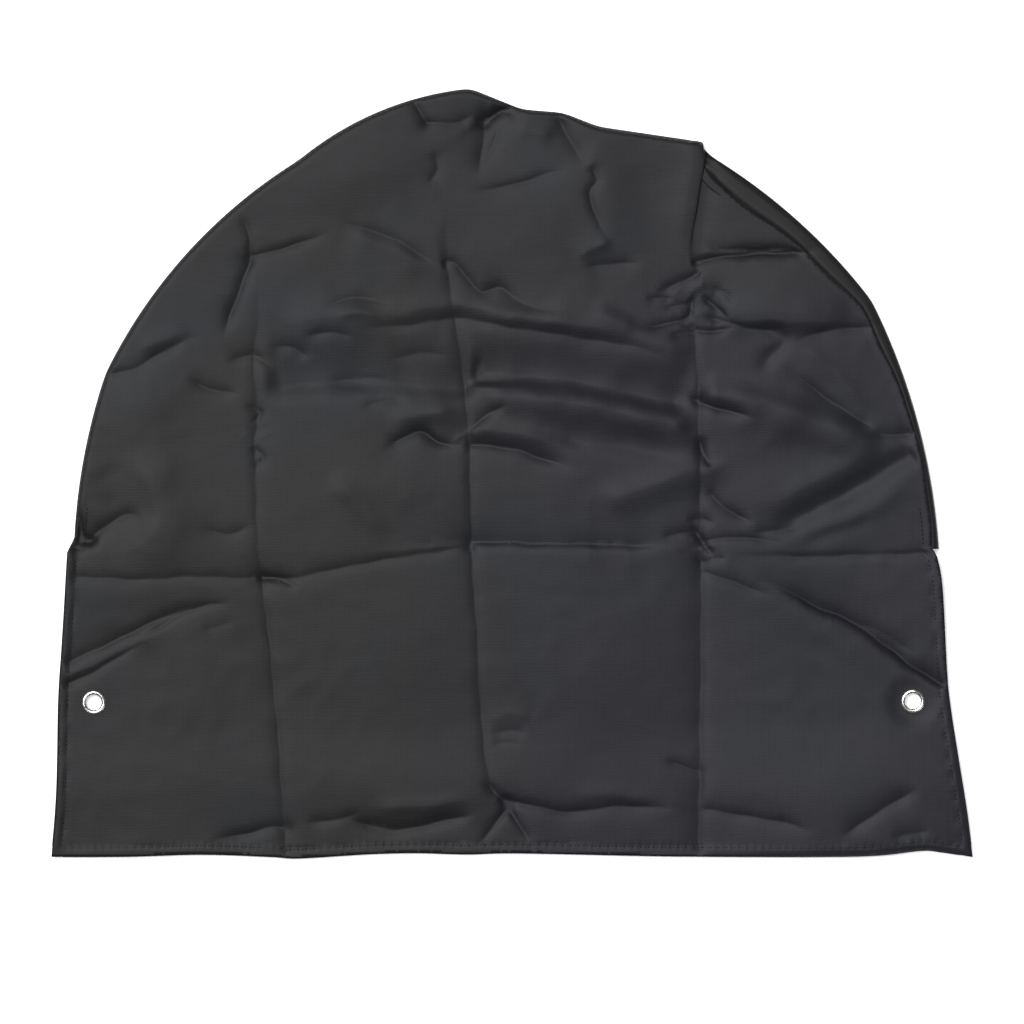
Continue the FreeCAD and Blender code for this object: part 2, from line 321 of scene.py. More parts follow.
SKIRT_FOLDS = [
    Crease([(-350, -150), (-308, -130), (-265, -110), (-230, -98)], -2.6, 4, 2, OUT),
    Crease([(-292, -131), (-266, -114), (-245, -106), (-218, -102)], -2.0, 2, 2),
    Crease([(-350, -167), (-332, -158), (-306, -143), (-280, -130)], -2.4, 3, 3, OUT),
    Crease([(-348, -160), (-300, -138), (-262, -118)], 1.4, 4, 4, OUT),
    Crease([(-245, -124), (-217, -118)], -0.8, 4, 4),
    Crease([(-196, -82), (-183, -84), (-166, -92)], -2.4, 3, 2, OUT),
    Crease([(187, -84), (213, -91), (240, -106), (268, -118), (295, -137), (315, -153),
            (338, -166)], -5.6, 6, 1.6, IN),
    Crease([(262, -114), (295, -128), (323, -147)], -1.4, 5, 5),
    Crease([(153, -79), (185, -90), (211, -100)], -1.9, 3, 3, OUT),
    Fold([(206, -104), (244, -124), (296, -160)], 0.9, 9),
    Crease([(-240, -289), (-216, -286), (-190, -279), (-177, -280)], -2.9, 3, 3, IN),
    Crease([(-165, -277), (-130, -271), (-117, -265)], -1.8, 3, 3),
    Crease([(-137, -271), (-96, -281), (-57, -275), (-27, -268)], -4.2, 4, 4, (0.25, 0.2)),
    Fold([(-117, -264), (-62, -262), (-25, -254)], 1.6, 7),
    Crease([(-12, -256), (6, -260), (43, -267), (83, -263), (135, -264)], -2.9, 3, 4, (0.05, 0.3)),
    Fold([(40, -252), (80, -254), (120, -256)], 0.8, 7),
    Crease([(153, -265), (190, -271), (227, -279), (243, -287)], -2.4, 3, 4, OUT),
    Crease([(255, -289), (287, -268), (322, -246)], -3.8, 5, 5),
    Crease([(297, -288), (330, -281)], -2.0, 4, 4),
    Crease([(-18, -246), (-3, -263)], -2.2, 2, 2.5, WHOLE),
    Crease([(-3, -263), (-28, -295)], -2.4, 2, 2, OUT),
    Crease([(-3, -263), (16, -295)], -2.4, 2, 2, OUT),
    Crease([(118, -226), (146, -235)], -1.6, 2, 2, IN),
    Crease([(-20, -197), (0, -190), (16, -194)], 1.0, 4, 5),
    Crease([(-18, -205), (2, -203), (12, -208)], -1.1, 3, 3),
    Crease([(-18, -214), (-4, -212), (8, -216)], -0.7, 2, 2),
]

# Around the upper left corner of the pack, and the arch's left side
LEFT_FOLDS = [
    Crease([(-217, 206), (-208, 190), (-205, 170)], -1.9, 2.5, 2.5, (0.5, 0.0)),
    Crease([(-205, 169), (-213, 146), (-221, 126), (-229, 104)], -3.0, 2.5, 3, (0.05, 0.4)),
    Crease([(-206, 169), (-172, 179), (-138, 190)], -2.0, 2, 2.5, (0.0, 0.5)),
    Crease([(-318, 78), (-306, 79), (-292, 84), (-267, 100), (-242, 109)], -1.9, 3, 4, OUT),
    Crease([(-300, 92), (-278, 103), (-252, 112)], 1.4, 5, 6),
    Crease([(-290, 88), (-272, 94), (-256, 104)], -0.9, 2, 2),
    Crease([(-257, 76), (-237, 65), (-212, 63)], -1.9, 3, 3),
    Crease([(-226, 87), (-203, 92), (-186, 79)], -1.9, 4, 3),
    Fold([(-310, 14), (-290, 2), (-276, -28), (-283, -52), (-306, -66)], 2.9, (24, 11)),
    Crease([(-338, -58), (-318, -41), (-303, -33), (-288, -36)], -3.8, 5, 6),
    Fold([(-324, 6), (-314, -14), (-318, -34)], -1.0, (9, 13)),
    Crease([(-248, -44), (-222, -48), (-203, -40)], -1.7, 4, 4),
    Fold([(-146, 0), (-119, -27), (-95, -50)], 1.1, 8),
    Crease([(-211, 53), (-197, 47), (-206, 38)], -1.5, 2, 2),
    Crease([(-206, 22), (-196, 12), (-203, 2)], -1.5, 2, 2),
    Crease([(-343, -32), (-339, -43), (-342, -58)], -7.0, 2, 2.5, WHOLE),
    Crease([(-344, -52), (-334, -55), (-324, -51)], -5.0, 2, 2, OUT),
    Crease([(-344, -44), (-337, -50), (-330, -58)], -4.0, 2, 2, OUT),
]

# The middle of the face, from the crown down
CROWN_FOLDS = [
    Crease([(-77, 291), (-67, 275)], -2.4, 2.5, 3, WHOLE),
    Crease([(-67, 275), (-46, 275), (-27, 283)], -2.0, 3, 4, OUT),
    Crease([(-22, 276), (-9, 284), (2, 288)], -7.5, 3, 5, WHOLE),
    Crease([(-20, 279), (-23, 256), (-28, 230)], -2.2, 3, 5, OUT),
    Crease([(-8, 276), (-16, 256), (-24, 240)], -1.5, 3, 3),
    Crease([(-35, 220), (0, 226), (27, 235), (46, 238)], -1.6, 2, 3),
    Crease([(-62, 254), (-58, 240), (-67, 226)], -1.6, 3, 3),
    Crease([(35, 283), (45, 262), (56, 246), (63, 243)], -3.0, 4, 6, OUT),
    Crease([(62, 243), (67, 230), (61, 220), (68, 196), (78, 182)], -2.4, 3, 2.5, (0.1, 0.4)),
    Crease([(50, 167), (64, 176), (80, 184)], 1.8, 6, 3),
    Crease([(53, 160), (70, 163), (104, 165)], -1.8, 3, 4),
    Crease([(0, 273), (14, 269), (34, 264)], 1.2, 4, 4),
    Crease([(-140, 199), (-94, 184), (-54, 160)], -1.5, 2.5, 3),
    Crease([(-134, 190), (-92, 175), (-60, 156)], 1.3, 3, 9),
    Crease([(-56, 165), (-46, 165), (-36, 154), (-25, 142), (-10, 146), (3, 137), (22, 128),
            (50, 126)], -2.7, 4, 4, (0.03, 0.6)),
    Crease([(20, 132), (50, 129), (98, 114)], 1.4, 5, 5),
]

FACE_FOLDS = [
    Crease([(-125, 113), (-82, 116), (-43, 121), (0, 114), (40, 108), (80, 102), (106, 96),
            (142, 82)], -2.5, 7, 5, (0.15, 0.3)),
    Fold([(-115, 124), (-43, 131), (0, 124), (80, 112), (125, 102)], 1.8, 8),
    Fold([(-32, 122), (40, 116), (100, 104), (142, 92)], 2.6, (12, 20), (0.1, 0.1)),
    Fold([(62, 133), (80, 122), (100, 114)], 1.4, 7),
    Fold([(-197, 68), (-135, 72), (-88, 70), (-38, 68)], -4.4, (28, 9), (0.1, 0.0)),
    Fold([(-190, 116), (-120, 124), (-50, 120)], 2.4, (12, 20)),
    Crease([(-150, 70), (-120, 74), (-88, 72)], -0.9, 3, 3),
    Crease([(-92, 24), (-73, 32), (-57, 24), (-34, 20)], -4.0, 2.5, 4, OUT),
    Fold([(-100, 40), (-72, 45), (-40, 50)], 2.2, 8),
    Crease([(-32, 36), (-20, 45), (0, 55)], -2.6, 4, 2.5, OUT),
    Crease([(-31, 22), (0, 19), (20, 12), (50, 2)], -3.6, 4, 3, OUT),
    Fold([(-30, 35), (20, 27), (66, 12)], 2.0, 7, OUT),
    Fold([(-26, 60), (50, 54), (144, 34)], 3.4, (9, 13), (0.1, 0.1)),
    Fold([(-34, 80), (40, 74), (100, 62), (144, 52)], -4.4, (22, 8), (0.05, 0.1)),
    Fold([(62, -25), (105, -12), (147, 3)], 3.4, (10, 13), IN),
    Fold([(10, 26), (70, 24), (142, 12)], -2.6, (14, 8)),
    Fold([(-150, -20), (-110, -10), (-60, -22)], 0.8, 14),
    Crease([(-150, 130), (-120, 138), (-92, 131)], -1.6, 3, 3),
    Fold([(-142, 122), (-118, 126), (-98, 120)], 0.8, 4),
    Crease([(-165, 106), (-145, 110), (-122, 106)], -1.6, 3, 3),
    Crease([(-100, 88), (-70, 94), (-48, 92)], -1.0, 4, 4),
    Crease([(-120, 50), (-100, 56), (-80, 54)], -1.3, 3, 3),
    Crease([(-190, 100), (-172, 98), (-158, 88)], -1.5, 3, 3),
]

# Right of the pleat, out to the seam
RIGHT_FOLDS = [
    Crease([(140, 164), (158, 169), (195, 172), (237, 173), (262, 168)],
           -3.6, 2, 2.5, (0.05, 0.1)),
    Crease([(150, 186), (158, 178), (171, 175), (228, 177)], -2.4, 2, 2),
    Crease([(146, 178), (160, 173), (185, 174)], 1.0, 3, 3),
    Crease([(156, 122), (195, 112), (221, 116)], -2.4, 3, 3, OUT),
    Crease([(220, 101), (236, 109), (256, 113), (287, 114)], -2.4, 3, 4, IN),
    Fold([(192, 116), (213, 105), (201, 88), (194, 73)], -1.9, 6),
    Fold([(160, 118), (210, 120), (268, 118)], 3.0, (20, 8), (0.1, 0.2)),
    Crease([(210, 88), (234, 68), (262, 49), (287, 33)], -2.6, 3, 5, (0.4, 0.15)),
    Crease([(220, 100), (246, 87), (264, 69), (281, 45)], 1.2, 4, 5),
    Crease([(143, 57), (155, 53), (172, 48), (194, 43)], -4.4, 3.5, 4, OUT),
    Fold([(146, 64), (198, 53), (248, 36), (292, 16)], 5.2, (12, 22), (0.1, 0.2)),
    Fold([(200, 30), (250, 14), (284, -2)], -0.9, 10),
    Crease([(146, 30), (151, 14), (158, 2)], -3.0, 3, 3),
    Crease([(272, 30), (298, 30), (322, 31)], -2.8, 5, 4, IN),
    Fold([(200, -46), (240, -28), (280, -6), (318, 17)], -3.6, 8, (0.2, 0.05)),
    Fold([(196, -30), (236, -8), (276, 12), (300, 26)], 1.6, 9),
    Fold([(230, -52), (280, -30), (316, -6)], 1.2, 8),
    Fold([(222, -60), (250, -48), (290, -36)], -1.0, 6),
    Crease([(156, -17), (165, -26), (179, -35), (194, -40)], -2.6, 3, 3, OUT),
    Crease([(186, -48), (232, -43)], -1.5, 3, 3),
    Crease([(150, -55), (170, -51), (190, -52), (220, -56)], -1.8, 2, 2, OUT),
]

# Crumples where the packing creases cross at the right
KNOT_FOLDS = [
    Crease([(113, 141), (135, 151), (155, 163)], -2.6, 2, 2.5),
    Crease([(104, 137), (128, 137)], -1.6, 2, 3),
    Crease([(96, 113), (120, 117), (138, 122), (143, 136), (150, 142)], -2.6, 2.5, 2),
    Crease([(130, 118), (153, 111), (178, 115)], -2.6, 2, 2),
    Crease([(148, 140), (160, 130), (173, 120)], -2.6, 2, 2),
    Crease([(151, 164), (149, 152), (150, 142)], 1.2, 3, 2),
    Crease([(118, 128), (137, 133), (147, 139)], -1.6, 2, 2),
    Crease([(122, 106), (138, 110), (150, 106)], -1.5, 2, 2),
    Crease([(156, 146), (168, 140), (176, 132)], -1.2, 2, 2),
    Crease([(140, -40), (148, -52), (160, -68)], -2.8, 2, 2),
    Crease([(116, -52), (134, -48), (150, -49)], -1.8, 3, 2),
    Crease([(136, -38), (149, -36), (160, -42)], -1.8, 2, 3),
    Crease([(142, -62), (152, -58), (164, -59)], 1.0, 2, 2),
    Crease([(148, -74), (158, -68), (170, -69)], -1.6, 2, 2),
]

CREASES = PACKING + SKIRT_FOLDS + LEFT_FOLDS + CROWN_FOLDS + FACE_FOLDS + RIGHT_FOLDS
CREASES += KNOT_FOLDS

# Broad swells: centre, half sizes, turn in degrees and height
SWELLS = [
    ((-110, -180), (60, 70), 0, 1.2),
    ((60, -170), (55, 70), 0, 1.2),
    ((-270, -220), (45, 55), 0, 1.0),
    ((-290, 50), (35, 25), 40, 1.8),
    ((-115, 240), (55, 25), 20, 1.6),
    ((110, 220), (30, 40), 0, -1.4),
    ((20, 200), (40, 30), 0, 1.4),
    ((215, 140), (45, 22), -10, 1.6),
    ((-120, 0), (60, 50), 0, 1.2),
    ((60, 40), (60, 40), -10, 0.8),
    ((285, -265), (100, 85), -25, 5.5),
    ((-60, -250), (70, 30), 0, 1.2),
    ((205, -15), (35, 18), 20, 1.4),
    ((75, 215), (22, 45), 15, 1.6),
]

# Where the cloth is crumpled finely: centre and radius
KNOTS = [((146, 128), 26), ((149, -55), 18), ((-197, -83), 12), ((-201, 30), 12), ((-4, -262), 14),
         ((-36, 28), 14), ((-206, 168), 10), ((-10, 280), 16), ((-342, -54), 12)]

# The pleat at the upper right, where the cloth on the left laps over the right
PLEAT = spline([(139, 158), (142, 190), (146, 220), (150, 243), (149, 262)])
PLEAT_LAP = 5.0
PLEAT_REACH = 9.0
PLEAT_STEP = 1.5
PLEAT_GROWTH = 0.5  # the share of its length over which it opens

# The lowest that the cloth's upper side goes, which leaves room for the hem or the band
LOWEST_SKIRT = 1.75
LOWEST_ARCH = 3.0

# The relief's waves: height, size, seed, stretch and turn
WAVES = [
    (0.9, 90, 3.1, (1, 1), 0.0),
    (0.35, 36, 7.7, (1.8, 1), -0.15),
    (0.15, 12, 11.3, (1.6, 1), -0.1),
]
KNOT_CRUMPLES = [(0.8, 14, 21.0), (0.3, 6, 31.0)]
LOOSE_CRUMPLES = 0.5  # height of the crumples that come and go over the whole face


def grain(xy, size, seed, stretch=(1, 1), turn=0.0):
    """Smooth noise from -1 to 1, with features of about a size in millimetres."""
    c, s = math.cos(turn), math.sin(turn)
    u = (xy[:, 0] * c + xy[:, 1] * s) / (size * stretch[0])
    v = (xy[:, 1] * c - xy[:, 0] * s) / (size * stretch[1])
    return np.array([noise.noise(Vector((a, b, seed))) for a, b in zip(u, v)])


def crumple(xy, size, seed):
    """Noise with sharp valleys, as crumpled cloth has, from -1 to 0."""
    return -np.abs(grain(xy, size, seed)) ** 0.7


def swells(xy):
    """The broad swells together."""
    out = np.zeros(len(xy))
    for (cx, cy), (a, b), turn, height in SWELLS:
        c, s = math.cos(math.radians(turn)), math.sin(math.radians(turn))
        dx, dy = xy[:, 0] - cx, xy[:, 1] - cy
        u, v = (dx * c + dy * s) / a, (dy * c - dx * s) / b
        out += height * np.exp(-(u * u + v * v))
    return out


def knots(xy):
    """1 in the middle of a crumpled place, fading out round it."""
    mask = np.zeros(len(xy))
    for centre, radius in KNOTS:
        d = np.hypot(*(xy - np.array(centre)).T) / radius
        mask = np.maximum(mask, np.exp(-d * d))
    return mask


def base_height(xy):
    """The face with no creases: level over the band, then falling, and loose above the hem."""
    below = FOLD_Y - xy[:, 1]
    fallen = FACE_TOP - below * SKIRT_DROP + HEM_LOFT * smooth((below - 133) / 60)
    return np.where(below < 0, FACE_TOP, fallen)


def relief(xy):
    """All creases, swells and crumples."""
    z = sum(crease.lift(xy) for crease in CREASES) + swells(xy)
    z += sum(height * grain(xy, *wave) for height, *wave in WAVES)
    z += knots(xy) * sum(height * crumple(xy, size, seed) for height, size, seed in KNOT_CRUMPLES)
    loose = smooth((grain(xy, 110, 5.0) + 0.2) / 0.5)
    return z + LOOSE_CRUMPLES * crumple(xy, 30, 41.0) * loose


class Edges:
    """Distances from the sheet's outline, found through a tree of its points."""

    def __init__(self, outline):
        self.tree = kdtree.KDTree(len(outline))
        for i, (x, y) in enumerate(outline):
            self.tree.insert((x, y, 0), i)
        self.tree.balance()

    def distance(self, xy):
        return np.array([self.tree.find((x, y, 0))[2] for x, y in xy])


# Right of here the band's strip shows outside the seam, and the seam wanders by shares of it
STRIP_START, STRIP_GROWTH = 140.0, 12.0
SEAM_WANDER = 0.09
EDGE_LAP = 0.85  # how far the face's edge laps to the fold on the left


def arch_lines(count):
    """The face's edge, the seam and the fold as matching points from the left foot to the right.

    The face reaches the fold on the left and over the crown, and ends at the seam on the right.
    """
    seam, fold = (resampled(trace(outline, 1.0), count) for outline in (SEAM, FOLD))
    right = smooth((seam[:, 0] - STRIP_START) / STRIP_GROWTH)
    wave = SEAM_WANDER * (np.sin(seam[:, 1] / 9) + np.sin(seam[:, 1] / 21 + 1))
    reach = EDGE_LAP * (1 - right) + right * (0.05 + wave)
    return seam + reach[:, None] * (fold - seam), seam, fold


ARCH_LINE = arch_lines(1100)[0]
SKIRT_LINE = np.concatenate([spline(edge, 1.0) for edge in (RIGHT_EDGE, BOTTOM_EDGE, LEFT_EDGE)])
ARCH_EDGE = Edges(ARCH_LINE)
SKIRT_EDGE = Edges(SKIRT_LINE)


def eyelet_hold(xy):
    """1 at an eyelet and 0 beyond its reach, where the cloth is free to wrinkle."""
    held = np.zeros(len(xy))
    for centre in EYELETS:
        d = np.hypot(xy[:, 0] - centre.x, xy[:, 1] - centre.y)
        near, far = EYELET_HOLD
        held = np.maximum(held, smooth((far - d) / (far - near)))
    return held


EDGE_ROLL = 3.6
SEAM_RIDGE = 0.25
SEAM_STEP = 0.35


def rim_height(xy, arch):
    """How the face's edge turns down: over the fold on the left, to the seam on the right."""
    right = smooth((xy[:, 0] - STRIP_START - 4) / STRIP_GROWTH)
    rolled = -EDGE_ROLL * np.exp(-arch / 1.3)
    ridge = SEAM_RIDGE * np.exp(-(((arch - 3.0) / 1.6) ** 2))
    stepped = ridge - SEAM_STEP * np.exp(-arch / 0.8)
    return rolled * (1 - right) + stepped * right


def hem_height(xy, skirt):
    """The turned hem showing through, and the row of stitches drawn into it."""
    raised = HEM_STEP * smooth((HEM_WIDTH + 0.8 - skirt) / 1.6)
    groove = STITCH_GROOVE * np.exp(-((skirt - STITCH_INSET) ** 2))
    pucker = 0.7 + 0.3 * np.sin(2 * math.pi * (xy[:, 0] + xy[:, 1]) / STITCH_PITCH)
    wave = 0.6 * grain(xy, 24, 51.0) * np.exp(-skirt / 12)
    return raised - groove * pucker + wave


def sheet_height(xy):
    """Height of the face's upper side at each point."""
    arch, skirt = ARCH_EDGE.distance(xy), SKIRT_EDGE.distance(xy)
    below = xy[:, 1] < FOLD_Y + 2
    # Creases are lower beside an edge, where the seam or the hem stiffens the cloth
    free = smooth((np.where(below, skirt, arch) + 4) / 12)
    z = base_height(xy) + relief(xy) * free * (1 - eyelet_hold(xy))
    z += np.where(below, hem_height(xy, skirt), rim_height(xy, arch))
    return np.maximum(z, np.where(below, LOWEST_SKIRT, LOWEST_ARCH))


def pleated(xy, z):
    """Points moved sideways and in height where the pleat laps."""
    along = run_along(PLEAT)
    d, s = signed_distance(xy, PLEAT, along)
    across = -d  # above 0 on the right
    size = smooth(s / along[-1] / PLEAT_GROWTH)
    t = np.clip(across / PLEAT_REACH, -1, 1)
    moved = xy.copy()
    moved[:, 0] -= PLEAT_LAP * size * np.sin(math.pi * t)
    fall = np.exp(-np.clip(np.abs(across) - PLEAT_REACH, 0, None) / 9)
    return moved, z - PLEAT_STEP * size * np.sin(math.pi * t / 2) * fall


def inside(xy, polygon):
    """Which points lie inside a closed polygon."""
    x, y = xy.T
    hit = np.zeros(len(xy), bool)
    for (ax, ay), (bx, by) in zip(polygon, np.roll(polygon, -1, 0)):
        cross = (ay > y) != (by > y)
        with np.errstate(divide="ignore", invalid="ignore"):
            hit ^= cross & (x < (bx - ax) * (y - ay) / (by - ay) + ax)
    return hit


def hex_grid(low, high, step):
    """Points evenly spread over a rectangle."""
    rows = np.arange(low[1], high[1], step * math.sqrt(3) / 2)
    cols = np.arange(low[0], high[0], step)
    x, y = np.meshgrid(cols, rows)
    x = x + (np.arange(len(rows)) % 2)[:, None] * step / 2
    return np.stack([x.ravel(), y.ravel()], 1)


class Cloud:
    """Points kept apart by at least the gap that each was added with."""

    def __init__(self, cell=1.0):
        self.cell, self.grid, self.points = cell, {}, []

    def add(self, points, gap):
        reach = int(math.ceil(gap / self.cell))
        span = range(-reach, reach + 1)
        for x, y in points:
            i, j = int(x // self.cell), int(y // self.cell)
            near = (q for a in span for b in span for q in self.grid.get((i + a, j + b), ()))
            if all((x - q[0]) ** 2 + (y - q[1]) ** 2 >= gap * gap for q in near):
                self.grid.setdefault((i, j), []).append((x, y))
                self.points.append((x, y))


def rows_beside(line, offsets):
    """Copies of a line at distances to its left."""
    return [line + offset * left_of(line) for offset in offsets]


# Spacing of the face's points, and how far from a crease, an edge or an eyelet each one reaches
SPACINGS = [(1.6, 0.0), (2.1, 3.4), (3.0, 10.0), (4.4, 1e9)]
ROW_GAP = 1.1  # the least between points in the rows along creases
CRUMPLED = 0.45  # how crumpled a place is that gets the closest spacing
EDGE_BAND = 7.0  # how far in from the edge points stay close


def sheet_points(outline, holes):
    """Points for the face: close together along creases and edges, and wider apart elsewhere."""
    low, high = outline.min(0), outline.max(0)
    cloud = Cloud()
    for ring in [outline] + holes:
        cloud.add(ring, 0.0)
    fold = spline([(low[0], FOLD_Y), (high[0], FOLD_Y)], 2.5)
    lines = [(PLEAT, np.arange(-PLEAT_REACH, PLEAT_REACH + 1, 1.0), 0.7)]
    lines.append((fold, (0, -1.5, 1.5, -3, 3, -4.5, 4.5), ROW_GAP))
    lines += [(crease.line, (0, -1.3, 1.3), ROW_GAP) for crease in CREASES]
    for line, offsets, gap in lines:
        for row in rows_beside(line, offsets):
            cloud.add(row[inside(row, outline)], gap)
    creases, edge = Edges(np.concatenate([crease.line for crease in CREASES])), Edges(outline)
    for step, reach in SPACINGS:
        grid = hex_grid(low, high, step)
        grid = grid[inside(grid, outline)]
        rim = edge.distance(grid)
        off = np.minimum(creases.distance(grid), np.maximum(rim - EDGE_BAND, 0) + 1.0)
        for centre in EYELETS:
            off = np.minimum(off, np.hypot(*(grid - centre.xy).T) - EYELET_HOLE)
        wanted = (off > 0.5) & (off < reach)
        if not reach:
            wanted = knots(grid) > CRUMPLED
        cloud.add(grid[wanted & (rim > 0.9)], step * 0.8)
    return np.array(cloud.points)


def triangles(points, rings, keep):
    """Triangles over the points that respect the rings, where keep says so of their centres."""
    edges, start = [], 0
    for ring in rings:
        n = len(ring)
        edges += [(start + i, start + (i + 1) % n) for i in range(n)]
        start += n
    found = geometry.delaunay_2d_cdt([Vector(p) for p in points], edges, [], 0, 1e-5)
    verts = np.array([tuple(v) for v in found[0]])
    faces = np.array([f for f in found[2] if len(f) == 3])
    return verts, faces[keep(verts[faces].mean(1))]


def circle(centre, radius, count=40):
    """Points round a circle."""
    return np.array(centre.xy) + radius * round_about(np.arange(count) * 2 * math.pi / count)


def make_mesh(name, verts, faces, material, smooth_shade=True):
    """An object from points in millimetres."""
    mesh = bpy.data.meshes.new(name)
    faces = [list(map(int, face)) for face in faces]
    mesh.from_pydata((np.array(verts, float) * MM).tolist(), [], faces)
    mesh.validate()
    if smooth_shade:
        mesh.polygons.foreach_set("use_smooth", [True] * len(mesh.polygons))
    mesh.materials.append(material)
    obj = bpy.data.objects.new(name, mesh)
    bpy.context.scene.collection.objects.link(obj)
    return obj


def thicken(obj, thickness):
    """Gives a surface a thickness on its back."""
    solid = obj.modifiers.new("cloth", "SOLIDIFY")
    solid.thickness = thickness * MM
    solid.offset = -1.0
    solid.use_quality_normals = True
    apply_modifiers(obj)


def apply_modifiers(obj):
    """Leaves an object with its final mesh."""
    depsgraph = bpy.context.evaluated_depsgraph_get()
    mesh = bpy.data.meshes.new_from_object(obj.evaluated_get(depsgraph), depsgraph=depsgraph)
    old = obj.data
    obj.modifiers.clear()
    obj.data = mesh
    bpy.data.meshes.remove(old)
    obj.data.name = obj.name


# Materials


class Look:
    """A material in the making, with textures on the object's own coordinates."""

    def __init__(self, name, **values):
        self.material = bpy.data.materials.new(name)
        self.material.use_nodes = True
        tree = self.material.node_tree
        self.nodes, self.links = tree.nodes, tree.links
        self.surface = self.nodes["Principled BSDF"]
        for key, value in values.items():
            self.surface.inputs[key.replace("_", " ")].default_value = value
        self.coords = self.nodes.new("ShaderNodeTexCoord").outputs["Object"]

    def use(self, output, key):
        """Links a node's output to the shader."""
        self.links.new(output, self.surface.inputs[key])

    def node(self, kind, **inputs):
        """A node whose inputs are values or other nodes' outputs."""
        made = self.nodes.new(kind)
        for key, value in inputs.items():
            self.give(made.inputs[key.replace("_", " ")], value)
        return made

    def give(self, socket, value):
        if isinstance(value, bpy.types.NodeSocket):
            self.links.new(value, socket)
        else:
            socket.default_value = value

    def math(self, operation, first, second):
        made = self.nodes.new("ShaderNodeMath")
        made.operation = operation
        self.give(made.inputs[0], first)
        self.give(made.inputs[1], second)
        return made.outputs[0]

    def mix(self, factor, first, second):
        """A colour between two."""
        made = self.nodes.new("ShaderNodeMix")
        made.data_type = "RGBA"
        self.give(made.inputs["Factor"], factor)
        for key, colour in (("A", first), ("B", second)):
            self.give(made.inputs[key], (*colour, 1) if isinstance(colour, tuple) else colour)
        return made.outputs["Result"]

    def spread(self, value, low, high):
        """A value spread from 0 at low to 1 at high."""
        made = self.node("ShaderNodeMapRange", Value=value, From_Min=low, From_Max=high)
        made.interpolation_type = "SMOOTHSTEP"
        return made.outputs["Result"]

    def ramp(self, value, low, high, start=0.0, end=1.0):
        """A colour from low to high as a value goes from start to end."""
        made = self.node("ShaderNodeValToRGB", Fac=value)
        for element, at, colour in zip(made.color_ramp.elements, (start, end), (low, high)):
            element.position, element.color = at, (*colour, 1)
        return made.outputs["Color"]

    def noise(self, scale, stretch=(1, 1, 1), detail=2.0, roughness=0.6):
        mapping = self.node("ShaderNodeMapping", Vector=self.coords, Scale=stretch)
        made = self.node("ShaderNodeTexNoise", Vector=mapping.outputs["Vector"], Scale=scale,
                         Detail=detail, Roughness=roughness)
        return made.outputs["Fac"]

    def wave(self, scale, distortion, direction, rings=False, **inputs):
        made = self.node("ShaderNodeTexWave", Vector=self.coords, Scale=scale,
                         Distortion=distortion, **inputs)
        if rings:
            made.wave_type = "RINGS"
            made.rings_direction = direction
        else:
            made.bands_direction = direction
        return made.outputs["Fac"]

    def bump(self, height, strength, distance, **inputs):
        made = self.node("ShaderNodeBump", Height=height, Strength=strength, Distance=distance,
                         **inputs)
        return made.outputs["Normal"]


def face_tone_and_painted_light(look):
    """Warm black that turns violet to the right, with painted shade over the top of the arch and
    painted light making the right skirt lighter and bluer.
    """
    split = look.node("ShaderNodeSeparateXYZ", Vector=look.coords)
    x, y = split.outputs["X"], split.outputs["Y"]
    violet = look.spread(x, -0.12, 0.06)
    tone = look.mix(violet, (0.0070, 0.0068, 0.0068), (0.0073, 0.0063, 0.0104))
    # Painted shade: the top of the arch is darkened where it curves away from the light.
    painted_crown_shade = look.math("MULTIPLY", look.spread(y, 0.06, 0.27), 0.75)
    tone = look.mix(painted_crown_shade, tone, (0.0040, 0.0038, 0.0044))
    # Painted light: the right skirt panel is made lighter and bluer, as satin turned to the light
    # would look.
    skirt = look.math("MULTIPLY", look.spread(x, 0.146, 0.152), look.spread(y, 0.0, -0.09))
    return look.mix(look.math("MULTIPLY", skirt, 0.8), tone, (0.0108, 0.0112, 0.0158))


def weave_height(look):
    """Height of a satin weave: warp and weft threads, with slubs."""
    warp = look.wave(330.0, 1.2, "X", Detail=1.0)
    weft = look.wave(260.0, 1.2, "Y", Detail=1.0)
    return look.math("ADD", look.math("MAXIMUM", warp, weft), look.noise(900.0, roughness=0.5))


def cloth_material(name, tone=None):
    """Satin polyester, in the face's tones with their painted shade and light, or in one tone:
    bluer in patches, with slubs.
    """
    look = Look(name, Roughness=0.56, Specular_IOR_Level=0.24, Sheen_Weight=0.02,
                Sheen_Roughness=0.45)
    tone = tone or face_tone_and_painted_light(look)
    patches = look.spread(look.noise(6.0), 0.5, 0.66)
    tone = look.mix(patches, tone, (0.0054, 0.0076, 0.0098))
    slubs = look.spread(look.noise(70.0, (1, 9, 1), 4.0), 0.3, 0.75)
    tone = look.mix(look.math("MULTIPLY", slubs, 0.45), tone, (0.0098, 0.0094, 0.0106))
    ends = look.spread(look.noise(60.0, (9, 1, 1), 3.0), 0.45, 0.85)
    tone = look.mix(look.math("MULTIPLY", ends, 0.5), tone, (0.0042, 0.0041, 0.0046))
    look.use(tone, "Base Color")
    weave = look.bump(weave_height(look), 0.35, 0.0001)
    look.use(look.bump(slubs, 0.1, 0.0003, Normal=weave), "Normal")
    return look.material


def thread_material(name):
    """Black twisted thread."""
    look = Look(name, Roughness=0.7, Specular_IOR_Level=0.25)
    twist = look.wave(900.0, 1.0, "DIAGONAL")
    look.use(look.ramp(twist, (0.003, 0.003, 0.0035), (0.009, 0.009, 0.010)), "Base Color")
    look.use(look.bump(twist, 0.5, 0.0001), "Normal")
    return look.material


def elastic_material(name):
    """Braided elastic: ribs along its length."""
    look = Look(name, Roughness=0.8)
    ribs = look.wave(160.0, 2.0, "Z", rings=True)
    look.use(look.ramp(ribs, (0.012, 0.012, 0.012), (0.04, 0.04, 0.042)), "Base Color")
    return look.material


